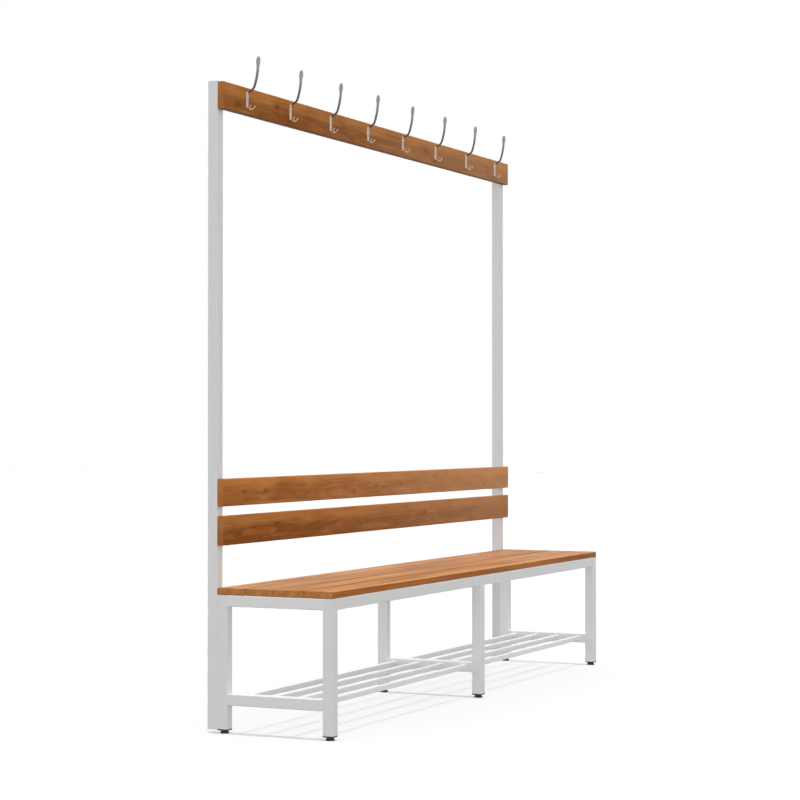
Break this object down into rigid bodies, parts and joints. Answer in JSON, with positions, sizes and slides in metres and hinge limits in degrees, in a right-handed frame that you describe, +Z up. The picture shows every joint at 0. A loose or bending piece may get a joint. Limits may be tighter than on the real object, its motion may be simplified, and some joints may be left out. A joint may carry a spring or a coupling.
{
  "type": "changing room bench with shoe shelf and coat hooks",
  "caption": "Free-standing changing room bench: slatted wooden seat on square-tube frames, shoe shelf, back boards, and a tall hook board with coat hooks.",
  "frame": {"origin": "middle of the bench's floor area, on the floor", "axes": "+X along the bench's length to the right as seen from its front, -Y towards the front, +Z up"},
  "size_m": [2, 0.3794, 1.8205],
  "materials": {
    "steel_frame": "light grey powder coat, satin",
    "stained_wood": "reddish brown stained and varnished pine with knots",
    "hook_metal": "satin cast hooks",
    "black_plastic": "black moulded plastic",
    "grey_plastic": "light grey moulded plastic",
    "fastener_steel": "zinc-plated steel"
  },
  "bodies": {
    "root": {"back_post_left": "steel_frame", "back_post_right": "steel_frame", "board_screws": "fastener_steel", "coat_hook_1": "hook_metal", "coat_hook_2": "hook_metal", "coat_hook_3": "hook_metal", "coat_hook_4": "hook_metal", "coat_hook_5": "hook_metal", "coat_hook_6": "hook_metal", "coat_hook_7": "hook_metal", "coat_hook_8": "hook_metal", "foot_insert_front_left": "black_plastic", "foot_insert_front_middle": "black_plastic", "foot_insert_front_right": "black_plastic", "foot_insert_rear_left": "black_plastic", "foot_insert_rear_middle": "black_plastic", "foot_insert_rear_right": "black_plastic", "front_seat_rail": "steel_frame", "hook_board": "stained_wood", "hook_screws": "fastener_steel", "leg_front_left": "steel_frame", "leg_front_middle": "steel_frame", "leg_front_right": "steel_frame", "leg_rear_left": "steel_frame", "leg_rear_middle": "steel_frame", "leg_rear_right": "steel_frame", "lower_back_board": "stained_wood", "post_bolts": "fastener_steel", "post_bottom_cap_left": "grey_plastic", "post_bottom_cap_right": "grey_plastic", "post_nuts": "fastener_steel", "post_top_cap_left": "grey_plastic", "post_top_cap_right": "grey_plastic", "rear_seat_rail": "steel_frame", "seat_cross_rail_left": "steel_frame", "seat_cross_rail_middle": "steel_frame", "seat_cross_rail_right": "steel_frame", "seat_slat_1": "stained_wood", "seat_slat_2": "stained_wood", "seat_slat_3": "stained_wood", "seat_slat_4": "stained_wood", "seat_slat_screws": "fastener_steel", "shelf_bar_left_1": "steel_frame", "shelf_bar_left_2": "steel_frame", "shelf_bar_left_3": "steel_frame", "shelf_bar_left_4": "steel_frame", "shelf_bar_right_1": "steel_frame", "shelf_bar_right_2": "steel_frame", "shelf_bar_right_3": "steel_frame", "shelf_bar_right_4": "steel_frame", "shelf_cross_rail_left": "steel_frame", "shelf_cross_rail_middle": "steel_frame", "shelf_cross_rail_right": "steel_frame", "upper_back_board": "stained_wood"},
    "glide_front_left": {"levelling_glide_front_left": "black_plastic"},
    "glide_front_middle": {"levelling_glide_front_middle": "black_plastic"},
    "glide_front_right": {"levelling_glide_front_right": "black_plastic"},
    "glide_rear_left": {"levelling_glide_rear_left": "black_plastic"},
    "glide_rear_middle": {"levelling_glide_rear_middle": "black_plastic"},
    "glide_rear_right": {"levelling_glide_rear_right": "black_plastic"}
  },
  "joints": [
    {"name": "glide_front_left_level", "type": "slide", "parent": "root", "child": "glide_front_left", "axis": [0, 0, -1], "range_m": [0, 0.01]},
    {"name": "glide_front_middle_level", "type": "slide", "parent": "root", "child": "glide_front_middle", "axis": [0, 0, -1], "range_m": [0, 0.01]},
    {"name": "glide_front_right_level", "type": "slide", "parent": "root", "child": "glide_front_right", "axis": [0, 0, -1], "range_m": [0, 0.01]},
    {"name": "glide_rear_left_level", "type": "slide", "parent": "root", "child": "glide_rear_left", "axis": [0, 0, -1], "range_m": [0, 0.01]},
    {"name": "glide_rear_middle_level", "type": "slide", "parent": "root", "child": "glide_rear_middle", "axis": [0, 0, -1], "range_m": [0, 0.01]},
    {"name": "glide_rear_right_level", "type": "slide", "parent": "root", "child": "glide_rear_right", "axis": [0, 0, -1], "range_m": [0, 0.01]}
  ]
}
